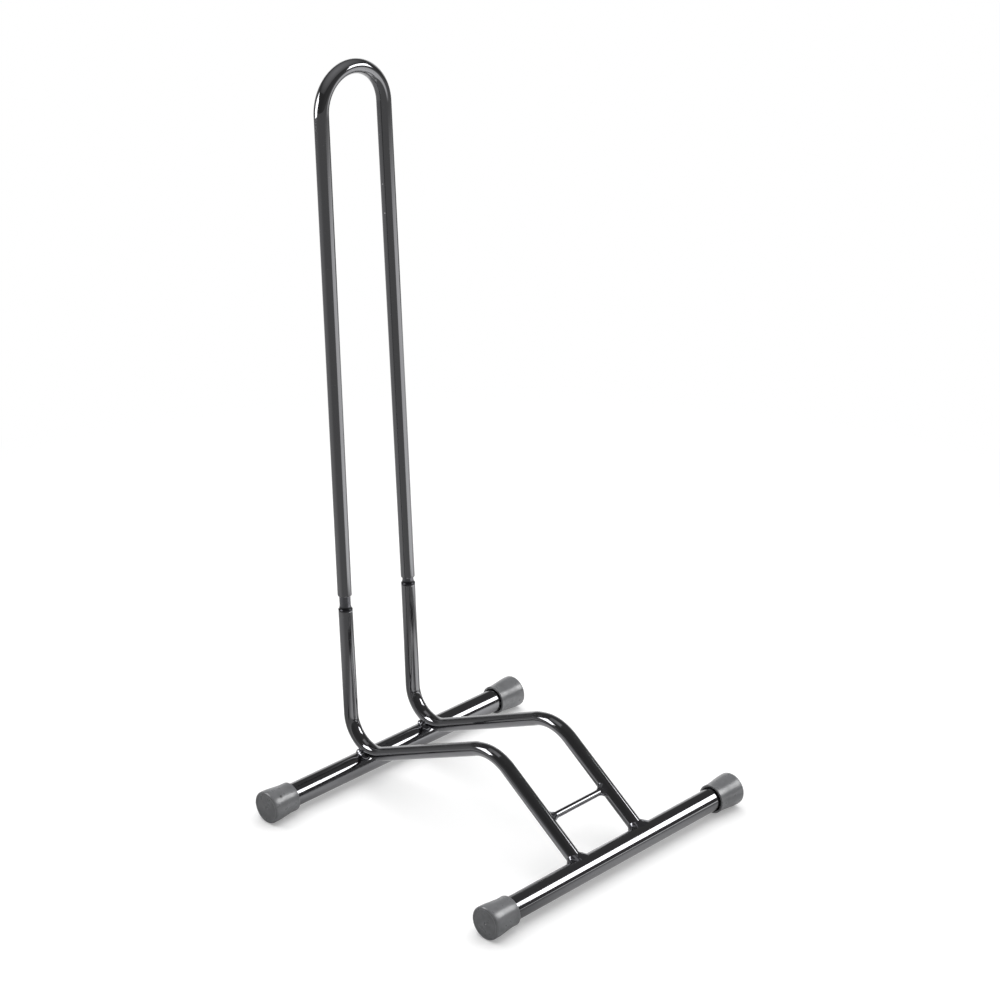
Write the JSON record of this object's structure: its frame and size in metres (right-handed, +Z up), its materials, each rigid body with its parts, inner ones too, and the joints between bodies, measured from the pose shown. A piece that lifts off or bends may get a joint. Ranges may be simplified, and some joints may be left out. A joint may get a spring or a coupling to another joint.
{
  "type": "floor bike rack",
  "caption": "Free-standing floor rack that holds a bicycle by one wheel: a low tube base with capped feet and a tall lift-out loop.",
  "frame": {"origin": "on the floor, midway between the two foot tubes", "axes": "+X along the foot tubes, +Y towards the back where the loop stands, +Z up"},
  "size_m": [0.3886, 0.4107, 0.8049],
  "materials": {
    "black_chrome_tube": "polished black chrome plate",
    "joint_pin_steel": "dark plated, satin",
    "plated_weld": "plated weld bead, slightly uneven",
    "grey_cap": "satin moulded soft plastic"
  },
  "bodies": {
    "base": {"left_rail": "black_chrome_tube", "right_rail": "black_chrome_tube", "front_foot_tube": "black_chrome_tube", "rear_foot_tube": "black_chrome_tube", "brace_rod": "black_chrome_tube", "front_left_cap": "grey_cap", "front_right_cap": "grey_cap", "rear_left_cap": "grey_cap", "rear_right_cap": "grey_cap", "left_rail_front_weld": "plated_weld", "right_rail_front_weld": "plated_weld", "brace_left_weld": "plated_weld", "brace_right_weld": "plated_weld", "left_rail_outer_weld": "plated_weld", "left_rail_inner_weld": "plated_weld", "right_rail_outer_weld": "plated_weld", "right_rail_inner_weld": "plated_weld"},
    "loop": {"upper_loop": "black_chrome_tube", "left_joint_pin": "joint_pin_steel", "right_joint_pin": "joint_pin_steel"}
  },
  "joints": [
    {"name": "loop_lift", "type": "slide", "parent": "base", "child": "loop", "axis": [0, 0.0419, 0.9991], "range_m": [0, 0.095]}
  ]
}
